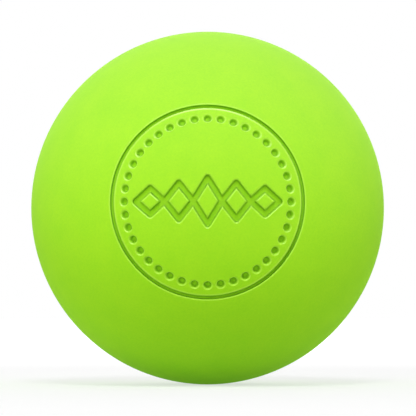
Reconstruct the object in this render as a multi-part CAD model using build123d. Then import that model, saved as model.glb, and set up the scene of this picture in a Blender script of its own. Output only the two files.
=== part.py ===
from build123d import *

import os
from math import asin, atan2, degrees, hypot, sqrt

# A lacrosse ball: a solid rubber core in a coloured rubber cover of two half shells, bonded on the core.
# The origin is the ball's centre and +Z is up. The half shells meet on the plane Y = 0, where the mould
# parts. The front one faces -Y, and a round panel is pressed into it: a ring groove, a border of round
# dimples and a chain of diamonds. All sizes are in millimetres.

# Ball: the rules of the game ask for 196.9 to 203.2 mm round, and this is the middle of that.
BALL_DIAMETER = 63.7
COVER_WALL = 4.5
# Rounding of each half shell's outer rim, which leaves a fine seam round the ball.
SEAM_ROUNDING = 0.2

# Ring groove: diameter of its middle line, width at the ball's surface and on its floor, depth, and the
# rounding of its floor and of its edges.
RING_DIAMETER = 32.7
RING_WIDTH = 0.7
RING_FLOOR_WIDTH = 0.35
RING_DEPTH = 0.7
RING_FLOOR_ROUNDING = 0.1
RING_EDGE_ROUNDING = 0.15

# Border of round dimples inside the ring, with the plain strip left between them and the ring.
DIMPLE_COUNT = 40
DIMPLE_DIAMETER = 1.4
DIMPLE_DEPTH = 0.7
RING_TO_DIMPLE = 1.0

# Chain of diamonds across the panel, each lower by a step than its neighbour nearer the middle.
DIAMOND_COUNT = 5
MIDDLE_DIAMOND_HEIGHT = 9.0
DIAMOND_HEIGHT_STEP = 1.7
STROKE_WIDTH = 1.2
STROKE_DEPTH = 0.7
DIMPLE_TO_CHAIN = 0.8

# How far the chain's cutter reaches past the ball, and how many times its wall's height the ring's reaches.
CUTTER_OVERRUN = 1.0
WALL_STRETCH = 2
# The most of half a groove's floor that its rounding may take up.
ROUNDING_LIMIT = 0.9

# Worked out from the sizes above.
ball_radius = BALL_DIAMETER / 2
core_radius = ball_radius - COVER_WALL
ring_radius = RING_DIAMETER / 2
dimple_radius = DIMPLE_DIAMETER / 2
border_radius = ring_radius - RING_WIDTH / 2 - RING_TO_DIMPLE - dimple_radius
chain_length = 2 * (border_radius - dimple_radius - DIMPLE_TO_CHAIN) - STROKE_WIDTH
diamond_length = chain_length / DIAMOND_COUNT

# Sketches of the panel are drawn as it is seen from the front: x is the ball's X and y is its Z.
PANEL_VIEW = Plane(origin=(0, 0, 0), x_dir=(1, 0, 0), z_dir=(0, -1, 0))
# Sections are drawn on a slanting plane through the panel's axis: x is out from it and y is to the front.
SECTION_VIEW = Plane(origin=(0, 0, 0), x_dir=(1, 0, 1), z_dir=(1, 0, -1))


def turned(section):
    """A solid turned from a section about the panel's axis."""
    return revolve(SECTION_VIEW * section, Axis.Y)


def quarter_disc(radius):
    """The front quarter of a section through a ball."""
    return Circle(radius) & Pos(radius / 2, radius / 2) * Rectangle(radius, radius)


def cover_section():
    """Section of a half shell, from the panel's axis to the seam, with its outer rim rounded."""
    wall = quarter_disc(ball_radius) - Circle(core_radius)
    rim = wall.vertices().sort_by(Axis.X)[-1]
    return fillet(rim, SEAM_ROUNDING)


def on_ball(out):
    """The point of a section on the ball's surface at a distance out from the panel's axis."""
    return Vector(out, sqrt(ball_radius**2 - out**2))


def groove_wall(side):
    """Floor end and top end of a wall of the ring groove's section: -1 is the inner wall and 1 the outer."""
    floor_end = on_ball(ring_radius) + Vector(side * RING_FLOOR_WIDTH / 2, -RING_DEPTH)
    edge = on_ball(ring_radius + side * RING_WIDTH / 2)
    return floor_end, floor_end + (edge - floor_end) * WALL_STRETCH


def ring_groove():
    """The solid that cuts the ring: a slot along the panel's axis, narrower at its floor, turned about it."""
    inner_floor, inner_top = groove_wall(-1)
    outer_floor, outer_top = groove_wall(1)
    slot = Polygon(inner_top, inner_floor, outer_floor, outer_top, align=None)
    floor_corners = slot.vertices().group_by(Axis.Y)[0]
    slot = fillet(floor_corners, min(RING_FLOOR_ROUNDING, ROUNDING_LIMIT * RING_FLOOR_WIDTH / 2))
    return turned(slot)


def grooved(shell):
    """A half shell with the ring groove cut in it and the groove's edges rounded."""
    groove = ring_groove()
    cut_shell = shell - groove
    return fillet(new_edges(shell, groove, combined=cut_shell), RING_EDGE_ROUNDING)


def dimples():
    """Small balls that cut the border of dimples."""
    cutter_radius = (dimple_radius**2 + DIMPLE_DEPTH**2) / (2 * DIMPLE_DEPTH)
    reach = ball_radius - DIMPLE_DEPTH + cutter_radius
    tilt = degrees(asin(border_radius / ball_radius))
    return [
        Rot(0, 360 * step / DIMPLE_COUNT, 0) * Rot(-tilt, 0, 0) * Pos(0, -reach, 0) * Sphere(cutter_radius)
        for step in range(DIMPLE_COUNT)
    ]


def stroke(start, end):
    """A bar with round ends between two points of the panel."""
    across, up = end[0] - start[0], end[1] - start[1]
    middle = Pos((start[0] + end[0]) / 2, (start[1] + end[1]) / 2)
    slope = degrees(atan2(up, across))
    return middle * Rot(0, 0, slope) * SlotCenterToCenter(hypot(across, up), STROKE_WIDTH)


def diamond_chain():
    """The solid that cuts the chain: diamonds that share end points, with a floor that follows the ball."""
    strokes = []
    for step in range(DIAMOND_COUNT):
        from_middle = step - (DIAMOND_COUNT - 1) / 2
        centre = from_middle * diamond_length
        tip = (MIDDLE_DIAMOND_HEIGHT - STROKE_WIDTH - DIAMOND_HEIGHT_STEP * abs(from_middle)) / 2
        for end in (centre - diamond_length / 2, centre + diamond_length / 2):
            strokes += [stroke((end, 0), (centre, tip)), stroke((end, 0), (centre, -tip))]
    outline = strokes[0].fuse(*strokes[1:])
    return extrude(PANEL_VIEW * outline, ball_radius + CUTTER_OVERRUN) - Sphere(ball_radius - STROKE_DEPTH)


def core():
    """The solid centre of the ball."""
    front_half = turned(quarter_disc(core_radius))
    return front_half + mirror(front_half, Plane.XZ)


def front_cover():
    """The half shell that carries the panel."""
    return grooved(turned(cover_section())) - dimples() - diamond_chain()


def rear_cover():
    """The plain half shell."""
    return mirror(turned(cover_section()), Plane.XZ)


os.makedirs("parts", exist_ok=True)
for piece in (core, front_cover, rear_cover):
    export_step(piece(), f"parts/{piece.__name__}.step")
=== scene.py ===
import math

import bmesh
import bpy
import numpy as np
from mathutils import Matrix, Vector


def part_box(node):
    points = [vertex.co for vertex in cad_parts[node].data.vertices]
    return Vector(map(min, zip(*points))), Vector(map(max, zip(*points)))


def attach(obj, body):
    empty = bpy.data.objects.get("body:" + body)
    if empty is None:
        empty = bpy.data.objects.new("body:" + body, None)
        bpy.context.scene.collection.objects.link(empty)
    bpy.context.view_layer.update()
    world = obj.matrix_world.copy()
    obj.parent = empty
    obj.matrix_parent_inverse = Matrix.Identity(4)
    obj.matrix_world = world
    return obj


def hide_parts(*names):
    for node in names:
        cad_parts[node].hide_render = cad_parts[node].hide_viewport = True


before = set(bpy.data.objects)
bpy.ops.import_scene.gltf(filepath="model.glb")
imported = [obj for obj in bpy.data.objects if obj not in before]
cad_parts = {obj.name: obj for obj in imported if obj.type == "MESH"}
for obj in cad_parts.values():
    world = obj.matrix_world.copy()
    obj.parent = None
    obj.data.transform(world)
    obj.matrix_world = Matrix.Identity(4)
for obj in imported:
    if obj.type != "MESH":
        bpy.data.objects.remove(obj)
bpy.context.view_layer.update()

# A lacrosse ball on a white studio floor. All lengths are in metres, in the solids' own frame: the origin
# is the ball's centre, +Z is up, and the panel faces -Y, towards the camera.
MM = 0.001
BODY = "root"
FRONT, REAR = -1, 1
BALL_RADIUS = -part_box("front_cover")[0].y
CORE_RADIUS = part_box("core")[1].y

# Sizes of the seam and the panel, as in the solids.
SEAM_ROUNDING = 0.2 * MM
RING_RADIUS = 16.35 * MM
RING_WIDTH = 0.7 * MM
RING_FLOOR_WIDTH = 0.35 * MM
RING_DEPTH = 0.7 * MM
RING_FLOOR_ROUNDING = 0.1 * MM
RING_EDGE_ROUNDING = 0.15 * MM
DIMPLE_COUNT = 40
DIMPLE_RADIUS = 0.7 * MM
DIMPLE_DEPTH = 0.7 * MM
RING_TO_DIMPLE = 1.0 * MM
DIAMOND_COUNT = 5
MIDDLE_DIAMOND_HEIGHT = 9.0 * MM
DIAMOND_HEIGHT_STEP = 1.7 * MM
STROKE_WIDTH = 1.2 * MM
STROKE_DEPTH = 0.7 * MM
DIMPLE_TO_CHAIN = 0.8 * MM
BORDER_RADIUS = RING_RADIUS - RING_WIDTH / 2 - RING_TO_DIMPLE - DIMPLE_RADIUS
CHAIN_LENGTH = 2 * (BORDER_RADIUS - DIMPLE_RADIUS - DIMPLE_TO_CHAIN) - STROKE_WIDTH
DIAMOND_LENGTH = CHAIN_LENGTH / DIAMOND_COUNT

# Dimples and strokes: how far the rounded lip reaches outside the edge, and how wide the sloping wall is.
LIP = 0.16 * MM
DIMPLE_WALL = 0.35 * MM
STROKE_WALL = 0.28 * MM
# Wear on the lips and along the seam, whose pale colour is partly wear and partly a painted highlight: how
# far it reaches to each side of a lip's middle, and its share there. A share above 1 widens the strip that
# is fully worn.
LIP_WEAR_AND_HIGHLIGHT = 0.12 * MM
WEAR_AND_HIGHLIGHT_AT_MIDDLE = 1.5

# Mesh fineness on the panel and elsewhere: the steps out from the panel's axis, and the spacing round it.
PANEL_STEP, PANEL_SPACING = 0.1 * MM, 0.17 * MM
PLAIN_STEP, PLAIN_SPACING = 0.8 * MM, 1.3 * MM
# The fewest columns round the axis, the steps along a shell's inside, and the points on a rounding.
FEWEST_COLUMNS = 10
INSIDE_STEP = 2 * MM
ROUNDING_STEPS = 6

# Rubber: the colours of the cover and of the core, the painted shade in the cover's recesses, and the pale
# colour of its worn lips, which is partly a painted highlight.
LIME_RANGE = (0.29, 0.79, 0.0), (0.49, 0.91, 0.01)
CORE_RANGE = (0.36, 0.32, 0.25), (0.46, 0.42, 0.34)
SHADED_LIME = (0.15, 0.37, 0.0)
WORN_HIGHLIGHT_LIME = (0.5, 0.92, 0.04)
# Size and detail of the grain, of the cover's mottle and of the core's crumb, and the grain's height.
GRAIN, GRAIN_DETAIL = 0.35 * MM, 2
MOTTLE, MOTTLE_DETAIL = 5 * MM, 3
CRUMB, CRUMB_DETAIL = 5 * MM, 4
GRAIN_HEIGHT = 0.02 * MM
# The grain's share in the cover's shade, where the mottle has the rest.
GRAIN_SHARE = 0.6
# Roughness over the grain's range, and how much of it is left on a worn lip.
COVER_ROUGHNESS = 0.88, 1
CORE_ROUGHNESS = 0.7, 0.85
WORN_ROUGHNESS = 0.4
# Strength of the rubber's reflections, where 0.5 is that of a polished plastic.
RUBBER_SHINE = 0.4
# Painted shade down in the recesses: the depth that has all of it, its share on a flat floor, and what it
# gains on an upright wall.
PAINTED_SHADE_DEPTH = 0.8 * MM
FLOOR_PAINTED_SHADE, WALL_PAINTED_SHADE = 0.36, 1.6
# What the cover's meshes call their shares of painted shade and of wear with its painted highlight.
PAINTED_SHADE, WORN_AND_HIGHLIGHT = "painted_shade", "worn_highlight"

# Camera: the photograph's frame and the ball's place in it, in pixels, then how far off the camera is and
# its elevation, in degrees.
IMAGE_PIXELS = 416
BALL_CENTRE_PIXELS = (207.6, 208.06)
BALL_RADIUS_PIXELS = 176.4
CAMERA_DISTANCE = 500 * MM
CAMERA_ELEVATION = -2.2

# Studio: white, the strength at which it shows as white, and the strength of the light all round.
WHITE = (1, 1, 1, 1)
FULL_WHITE = 1
WORLD_LIGHT = 0.42
# Soft lights: their distance from the ball's centre, then each one's azimuth right of the camera and
# elevation, in degrees, size and power in watts.
SOFTBOX_DISTANCE = 1.0
SOFTBOXES = {
    "left": (-85, 12, 0.8, 2.4),
    "front": (-22, 12, 0.5, 2.2),
    "right": (80, 12, 0.8, 2.6),
    "key": (0, 50, 0.25, 3.4),
    "back": (180, 25, 0.8, 3.5),
}
# An overhead light that shows only in the rubber's shine, as a pale sheen on top of the ball.
SHEEN_LIGHT = (0, 75, 0.8, 30)
# Floor: half its width, its colour, the colour and strength of the light it gives, how strongly it shows
# near the ball, and how far from the ball it starts to turn white and is all white.
FLOOR_HALF_WIDTH = 6.0
FLOOR_COLOUR = (0.4, 0.4, 0.4, 1)
FLOOR_LIGHT_COLOUR = (0.81, 1, 0.93, 1)
FLOOR_LIGHT = 0.166
FLOOR_GLOW = 0.6
FLOOR_FADE = (0.15, 0.6)


# The points of a section are complex numbers: out from the panel's axis, and off the seam's plane.
def on_ball(out):
    """The point of a section on the ball's surface at a distance out from the panel's axis."""
    return complex(out, math.sqrt(BALL_RADIUS**2 - out**2))


def arc(radius, start, end, step):
    """Points of a section along a ball's surface, at angles from the panel's axis, without the two ends."""
    steps = max(2, round(radius * abs(end - start) / step))
    angles = np.linspace(start, end, steps, endpoint=False)[1:]
    return radius * 1j * np.exp(-1j * angles)


def angle_from_axis(point):
    """Angle of a section's point from the panel's axis."""
    return math.atan2(point.real, point.imag)


def rounded(before, corner, after, rounding):
    """Points along the arc that rounds off a corner of a section."""
    back = (before - corner) / abs(before - corner)
    ahead = (after - corner) / abs(after - corner)
    half_angle = abs(np.angle(ahead / back)) / 2
    centre = corner + (back + ahead) / abs(back + ahead) * rounding / math.sin(half_angle)
    start = corner + back * rounding / math.tan(half_angle) - centre
    end = corner + ahead * rounding / math.tan(half_angle) - centre
    return centre + start * np.exp(1j * np.angle(end / start) * np.linspace(0, 1, ROUNDING_STEPS))


def ring_section():
    """The ring groove's section, from outside its inner lip to outside its outer one."""
    inner, outer = on_ball(RING_RADIUS - RING_WIDTH / 2), on_ball(RING_RADIUS + RING_WIDTH / 2)
    floor = on_ball(RING_RADIUS) - 1j * RING_DEPTH
    floor_inner, floor_outer = floor - RING_FLOOR_WIDTH / 2, floor + RING_FLOOR_WIDTH / 2
    first, last = on_ball(inner.real - LIP - LIP_WEAR_AND_HIGHLIGHT), on_ball(outer.real + LIP + LIP_WEAR_AND_HIGHLIGHT)
    corners = first, inner, floor_inner, floor_outer, outer, last
    roundings = RING_EDGE_ROUNDING, RING_FLOOR_ROUNDING, RING_FLOOR_ROUNDING, RING_EDGE_ROUNDING
    arcs = [rounded(*corners[place : place + 3], rounding) for place, rounding in enumerate(roundings)]
    return np.concatenate(([first], *arcs, [last]))


def seam_section():
    """The outer rim of a half shell at the seam, then its inside up to the panel's axis."""
    rim = rounded(on_ball(BALL_RADIUS - SEAM_ROUNDING), BALL_RADIUS, CORE_RADIUS, SEAM_ROUNDING)
    return np.concatenate((rim, [CORE_RADIUS], arc(CORE_RADIUS, math.pi / 2, 0, INSIDE_STEP)))


def recess(distance, wall):
    """Share of a recess's depth at a distance outside its edge, with a rounded lip and floor."""
    share = np.clip((LIP - distance) / (LIP + wall), 0, 1)
    return share**2 * (3 - 2 * share)


def wear_and_highlight(from_edge):
    """Share of wear, and of its painted highlight, at a distance outside an edge."""
    from_middle = np.abs(from_edge - LIP / 2)
    return np.clip(WEAR_AND_HIGHLIGHT_AT_MIDDLE * (1 - from_middle / LIP_WEAR_AND_HIGHLIGHT), 0, 1)


def outside_ring(out):
    """How far places are outside the ring groove, on either side of it."""
    return np.abs(out - RING_RADIUS) - RING_WIDTH / 2


def outside_dimples(out, turn):
    """How far places on the panel are outside the nearest dimple of the border."""
    sector = 2 * math.pi / DIMPLE_COUNT
    across = out * ((turn + sector / 2) % sector - sector / 2)
    along = BALL_RADIUS * (np.arcsin(out / BALL_RADIUS) - math.asin(BORDER_RADIUS / BALL_RADIUS))
    return np.hypot(across, along) - DIMPLE_RADIUS


def chain_strokes():
    """The two end points of every stroke of the chain, as complex numbers: across the panel and up it."""
    for step in range(DIAMOND_COUNT):
        from_middle = step - (DIAMOND_COUNT - 1) / 2
        centre = from_middle * DIAMOND_LENGTH
        tip = (MIDDLE_DIAMOND_HEIGHT - STROKE_WIDTH - DIAMOND_HEIGHT_STEP * abs(from_middle)) / 2
        for end in (centre - DIAMOND_LENGTH / 2, centre + DIAMOND_LENGTH / 2):
            for height in (tip, -tip):
                yield complex(end, 0), complex(centre, height)


def outside_chain(out, turn):
    """How far places on the panel are outside the nearest stroke of the chain."""
    places = out * 1j * np.exp(-1j * turn)
    distances = []
    for start, end in chain_strokes():
        share = np.clip(((places - start) / (end - start)).real, 0, 1)
        distances.append(np.abs(places - start - share * (end - start)))
    return np.min(distances, axis=0) - STROKE_WIDTH / 2


def column_counts(radii, spacings):
    """Columns of each ring of the mesh: close enough together, and at least half the last ring's."""
    counts = []
    for radius, spacing in zip(radii, spacings):
        count = FEWEST_COLUMNS
        while 2 * math.pi * radius > count * spacing:
            count *= 2
        counts.append(max(count, counts[-1] // 2) if counts else count)
    return counts


def fan(pole, ring):
    """Triangles between a pole and the ring of vertices round it."""
    return np.stack((np.full_like(ring, pole), ring, np.roll(ring, -1)), axis=-1).tolist()


def bridge(ring, following):
    """Faces between neighbouring rings of vertices, where one may have twice the columns of the other."""
    if len(ring) == len(following):
        return np.stack((ring, following, np.roll(following, -1), np.roll(ring, -1)), axis=-1).tolist()
    few, many = sorted((ring, following), key=len)
    even, odd = many[0::2], many[1::2]
    after, next_even = np.roll(few, -1), np.roll(even, -1)
    triangles = (few, even, odd), (few, odd, after), (after, odd, next_even)
    return np.concatenate([np.stack(corners, axis=-1) for corners in triangles]).tolist()


def shell_mesh(name, poles, points, counts):
    """A closed mesh of two poles and the rings of vertices between them."""
    starts = np.cumsum([len(poles), *counts])
    rings = [np.arange(start, start + count) for start, count in zip(starts, counts)]
    faces = fan(0, rings[0]) + fan(1, rings[-1])
    for ring, following in zip(rings, rings[1:]):
        faces += bridge(ring, following)
    mesh = bpy.data.meshes.new(name)
    mesh.from_pydata(poles + points.tolist(), [], faces)
    shaper = bmesh.new()
    shaper.from_mesh(mesh)
    bmesh.ops.recalc_face_normals(shaper, faces=shaper.faces)
    shaper.to_mesh(mesh)
    shaper.free()
    mesh.shade_smooth()
    return mesh


def recess_painted_shade(mesh):
    """Share of painted shade at each vertex, by its depth: a little on a flat floor and most on a steep
    wall.
    """
    places, normals = np.empty((2, len(mesh.vertices), 3))
    mesh.vertices.foreach_get("co", places.ravel())
    mesh.vertex_normals.foreach_get("vector", normals.ravel())
    from_centre = np.linalg.norm(places, axis=-1)
    depth = (BALL_RADIUS - from_centre) / PAINTED_SHADE_DEPTH
    steepness = 1 - np.sum(places * normals, axis=-1) / from_centre
    return np.clip(depth * (FLOOR_PAINTED_SHADE + WALL_PAINTED_SHADE * steepness), 0, 1)


def press_panel(points, worn_highlight, out, turn):
    """Press the dimples, square to the ball, and the chain, along the panel's axis, and mark the lips' wear
    and painted highlight.
    """
    from_dimple, from_chain = outside_dimples(out, turn), outside_chain(out, turn)
    points *= 1 - DIMPLE_DEPTH * recess(from_dimple, DIMPLE_WALL)[:, None] / BALL_RADIUS
    points[:, 1] -= np.sign(points[:, 1]) * STROKE_DEPTH * recess(from_chain, STROKE_WALL)
    worn_highlight[:] = wear_and_highlight(np.min((from_dimple, from_chain, outside_ring(out)), axis=0))


def add_object(name, data):
    """A new object in the scene."""
    made = bpy.data.objects.new(name, data)
    bpy.context.scene.collection.objects.link(made)
    return made


def half_shell(name, side, section, panel_rings=0):
    """A half shell turned about the panel's axis, worn and painted with a highlight at the seam. Its first
    rings carry any panel.
    """
    spacings = np.where(np.arange(len(section)) < panel_rings, PANEL_SPACING, PLAIN_SPACING)
    counts = column_counts(section.real, spacings)
    turn = np.concatenate([np.arange(count) * 2 * math.pi / count for count in counts])
    out, off_seam = np.repeat((section.real, section.imag), counts, axis=1)
    # The seam's wear, whose pale colour is partly a painted highlight.
    worn_highlight = np.repeat(wear_and_highlight(np.abs(section - BALL_RADIUS)), counts)
    points = np.stack((out * np.sin(turn), side * off_seam, out * np.cos(turn)), axis=-1)
    panel = slice(0, sum(counts[:panel_rings]))
    press_panel(points[panel], worn_highlight[panel], out[panel], turn[panel])
    poles = [(0, side * BALL_RADIUS, 0), (0, side * CORE_RADIUS, 0)]
    mesh = shell_mesh(name, poles, points, counts)
    shares = {PAINTED_SHADE: recess_painted_shade(mesh), WORN_AND_HIGHLIGHT: np.concatenate((np.zeros(len(poles)), worn_highlight))}
    for share, values in shares.items():
        mesh.attributes.new(share, "FLOAT", "POINT").data.foreach_set("value", values)
    return add_object(name, mesh)


def front_half():
    """The half shell with the panel: recesses inside a ring groove, and plain from there to the seam."""
    ring, seam = ring_section(), seam_section()
    panel = arc(BALL_RADIUS, 0, angle_from_axis(ring[0]), PANEL_STEP)
    plain = arc(BALL_RADIUS, angle_from_axis(ring[-1]), angle_from_axis(seam[0]), PLAIN_STEP)
    section = np.concatenate((panel, ring, plain, seam))
    return half_shell("cover_front", FRONT, section, len(panel) + len(ring))


def rear_half():
    """The plain half shell."""
    seam = seam_section()
    plain = arc(BALL_RADIUS, 0, angle_from_axis(seam[0]), PLAIN_STEP)
    return half_shell("cover_rear", REAR, np.concatenate((plain, seam)))


def add_node(tree, kind, settings=None, inputs=None):
    """Add a node. An input is a plain value, or another node's output to link to it."""
    made = tree.nodes.new(kind)
    for name, value in (settings or {}).items():
        setattr(made, name, value)
    for name, value in (inputs or {}).items():
        if isinstance(value, bpy.types.NodeSocket):
            tree.links.new(value, made.inputs[name])
        else:
            made.inputs[name].default_value = value
    return made


def new_tree(name):
    """A material with an empty node tree."""
    material = bpy.data.materials.new(name)
    material.use_nodes = True
    material.node_tree.nodes.clear()
    return material, material.node_tree


def object_place(tree):
    """Coordinates on the object, in metres."""
    return add_node(tree, "ShaderNodeTexCoord").outputs["Object"]


def mesh_share(tree, name):
    """A share that the mesh carries at its vertices."""
    return add_node(tree, "ShaderNodeAttribute", {"attribute_name": name}).outputs["Fac"]


def noise(tree, place, feature, detail):
    """Noise from 0 to 1 whose blotches are about one feature across."""
    inputs = {"Vector": place, "Scale": 1 / feature, "Detail": detail}
    return add_node(tree, "ShaderNodeTexNoise", inputs=inputs).outputs["Fac"]


def calculate(tree, operation, *values):
    """A math node's result."""
    return add_node(tree, "ShaderNodeMath", {"operation": operation}, dict(enumerate(values))).outputs[0]


def blend_range(tree, share, colours):
    """A colour from a range, by a share from 0 to 1."""
    ramp = add_node(tree, "ShaderNodeValToRGB", inputs={"Fac": share})
    for stop, colour in zip(ramp.color_ramp.elements, colours):
        stop.color = (*colour, 1)
    return ramp.outputs["Color"]


def mix_colours(tree, share, first, second):
    """The first colour where the share is 0, and the second where it is 1."""
    mixed = add_node(tree, "ShaderNodeMix", {"data_type": "RGBA"})
    # The sockets for colours share their names with those for numbers, so they are told by their place.
    factor, first_input, second_input = mixed.inputs[0], mixed.inputs[6], mixed.inputs[7]
    tree.links.new(share, factor)
    tree.links.new(first, first_input)
    second_input.default_value = (*second, 1)
    return mixed.outputs[2]


def map_range(tree, value, target, source=(0, 1)):
    """A value moved from a source range to a target range, and held at its ends."""
    ends = {"From Min": source[0], "From Max": source[1], "To Min": target[0], "To Max": target[1]}
    return add_node(tree, "ShaderNodeMapRange", inputs={"Value": value, **ends}).outputs["Result"]


def finish_rubber(tree, colour, grain, roughness):
    """Moulded rubber's surface: a fine matte grain and a soft shine."""
    relief = {"Height": grain, "Strength": 1, "Distance": GRAIN_HEIGHT}
    inputs = {
        "Base Color": colour,
        "Roughness": roughness,
        "Specular IOR Level": RUBBER_SHINE,
        "Normal": add_node(tree, "ShaderNodeBump", inputs=relief).outputs["Normal"],
    }
    surface = add_node(tree, "ShaderNodeBsdfPrincipled", inputs=inputs)
    add_node(tree, "ShaderNodeOutputMaterial", inputs={"Surface": surface.outputs["BSDF"]})


def cover_rubber():
    """Lime rubber, mottled and grained, with painted shade in the recesses, and pale and smoother on worn
    lips, where the pale is partly a painted highlight.
    """
    material, tree = new_tree("lime_rubber")
    place = object_place(tree)
    grain = noise(tree, place, GRAIN, GRAIN_DETAIL)
    mottle = noise(tree, place, MOTTLE, MOTTLE_DETAIL)
    mottled = calculate(tree, "MULTIPLY", mottle, 1 - GRAIN_SHARE)
    shade = calculate(tree, "MULTIPLY_ADD", grain, GRAIN_SHARE, mottled)
    worn_highlight = mesh_share(tree, WORN_AND_HIGHLIGHT)
    colour = blend_range(tree, shade, LIME_RANGE)
    # Painted shade: a darker lime down in the recesses, most on their steep walls.
    colour = mix_colours(tree, mesh_share(tree, PAINTED_SHADE), colour, SHADED_LIME)
    # Pale worn lips: partly wear, partly a painted highlight.
    colour = mix_colours(tree, worn_highlight, colour, WORN_HIGHLIGHT_LIME)
    roughness = map_range(tree, grain, COVER_ROUGHNESS)
    roughness_left = map_range(tree, worn_highlight, (1, WORN_ROUGHNESS))
    finish_rubber(tree, colour, grain, calculate(tree, "MULTIPLY", roughness, roughness_left))
    return material


def core_rubber():
    """Plain rubber of mixed crumb, which the cover hides."""
    material, tree = new_tree("core_rubber")
    place = object_place(tree)
    colour = blend_range(tree, noise(tree, place, CRUMB, CRUMB_DETAIL), CORE_RANGE)
    grain = noise(tree, place, GRAIN, GRAIN_DETAIL)
    finish_rubber(tree, colour, grain, map_range(tree, grain, CORE_ROUGHNESS))
    return material


def build_ball():
    """The two half shells, which stand for their solids, and the core's own solid."""
    cover = cover_rubber()
    for piece, node in ((front_half(), "front_cover"), (rear_half(), "rear_cover")):
        piece.data.materials.append(cover)
        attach(piece, BODY)
        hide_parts(node)
    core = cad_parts["core"]
    core.data.materials.clear()
    core.data.materials.append(core_rubber())


def seen_or_cast(tree, seen, cast):
    """One shader where a thing is seen, also in gloss or glass, and another for the light that it casts."""
    rays = add_node(tree, "ShaderNodeLightPath").outputs
    shiny = calculate(tree, "MAXIMUM", rays["Is Glossy Ray"], rays["Is Transmission Ray"])
    is_seen = calculate(tree, "MAXIMUM", rays["Is Camera Ray"], shiny)
    inputs = {0: is_seen, 1: cast.outputs[0], 2: seen.outputs[0]}
    return add_node(tree, "ShaderNodeMixShader", inputs=inputs).outputs[0]


def floor_paper():
    """Pale paper that shows white away from the ball and keeps the ball's shadow."""
    material, tree = new_tree("floor_paper")
    from_ball = add_node(tree, "ShaderNodeVectorMath", {"operation": "LENGTH"}, {0: object_place(tree)})
    strength = map_range(tree, from_ball.outputs["Value"], (FLOOR_GLOW, FULL_WHITE), FLOOR_FADE)
    matte = add_node(tree, "ShaderNodeBsdfDiffuse", inputs={"Color": FLOOR_COLOUR})
    seen = add_node(tree, "ShaderNodeEmission", inputs={"Color": WHITE, "Strength": strength})
    light = {"Color": FLOOR_LIGHT_COLOUR, "Strength": FLOOR_LIGHT}
    glow = seen_or_cast(tree, seen, add_node(tree, "ShaderNodeEmission", inputs=light))
    surface = add_node(tree, "ShaderNodeAddShader", inputs={0: matte.outputs[0], 1: glow})
    add_node(tree, "ShaderNodeOutputMaterial", inputs={"Surface": surface.outputs[0]})
    return material


def build_floor():
    """A pale studio floor under the ball."""
    mesh = bpy.data.meshes.new("floor")
    shaper = bmesh.new()
    bmesh.ops.create_grid(shaper, x_segments=1, y_segments=1, size=FLOOR_HALF_WIDTH)
    shaper.to_mesh(mesh)
    shaper.free()
    mesh.materials.append(floor_paper())
    floor = add_object("floor", mesh)
    floor.location.z = -BALL_RADIUS


def build_world():
    """A white backdrop where it is seen, and a soft even light elsewhere."""
    world = bpy.data.worlds.new("studio")
    bpy.context.scene.world = world
    world.use_nodes = True
    tree = world.node_tree
    tree.nodes.clear()
    seen = add_node(tree, "ShaderNodeBackground", inputs={"Color": WHITE, "Strength": FULL_WHITE})
    light = add_node(tree, "ShaderNodeBackground", inputs={"Color": WHITE, "Strength": WORLD_LIGHT})
    add_node(tree, "ShaderNodeOutputWorld", inputs={"Surface": seen_or_cast(tree, seen, light)})


def face_ball(made, distance, azimuth, elevation):
    """Put a lamp or a camera at a distance from the ball, facing it. Azimuth 0 is in front of the panel."""
    turn, rise = math.radians(azimuth), math.radians(elevation)
    toward = Vector((math.sin(turn) * math.cos(rise), -math.cos(turn) * math.cos(rise), math.sin(rise)))
    made.location = distance * toward
    made.rotation_euler = (-toward).to_track_quat("-Z", "Y").to_euler()


def softbox(name, azimuth, elevation, size, power):
    """A square soft light that faces the ball."""
    data = bpy.data.lights.new(name, "AREA")
    data.shape = "SQUARE"
    data.size = size
    data.energy = power
    lamp = add_object(name, data)
    face_ball(lamp, SOFTBOX_DISTANCE, azimuth, elevation)
    return lamp


def build_lights():
    """Soft lights all round the ball, and the one overhead that gives it a sheen."""
    for name, setting in SOFTBOXES.items():
        softbox(name, *setting)
    sheen = softbox("sheen", *SHEEN_LIGHT)
    sheen.visible_diffuse = False


def build_camera():
    """A long lens, a little below the ball's middle, with the ball where the photograph has it."""
    data = bpy.data.cameras.new("camera")
    to_limb = math.sqrt(CAMERA_DISTANCE**2 - BALL_RADIUS**2)
    focal_pixels = BALL_RADIUS_PIXELS * to_limb / BALL_RADIUS
    data.lens = focal_pixels * data.sensor_width / IMAGE_PIXELS
    data.shift_x = (IMAGE_PIXELS / 2 - BALL_CENTRE_PIXELS[0]) / IMAGE_PIXELS
    data.shift_y = (BALL_CENTRE_PIXELS[1] - IMAGE_PIXELS / 2) / IMAGE_PIXELS
    camera = add_object("camera", data)
    face_ball(camera, CAMERA_DISTANCE, 0, CAMERA_ELEVATION)
    bpy.context.scene.camera = camera


build_ball()
build_floor()
build_world()
build_lights()
build_camera()
bpy.context.scene.view_settings.view_transform = "Standard"
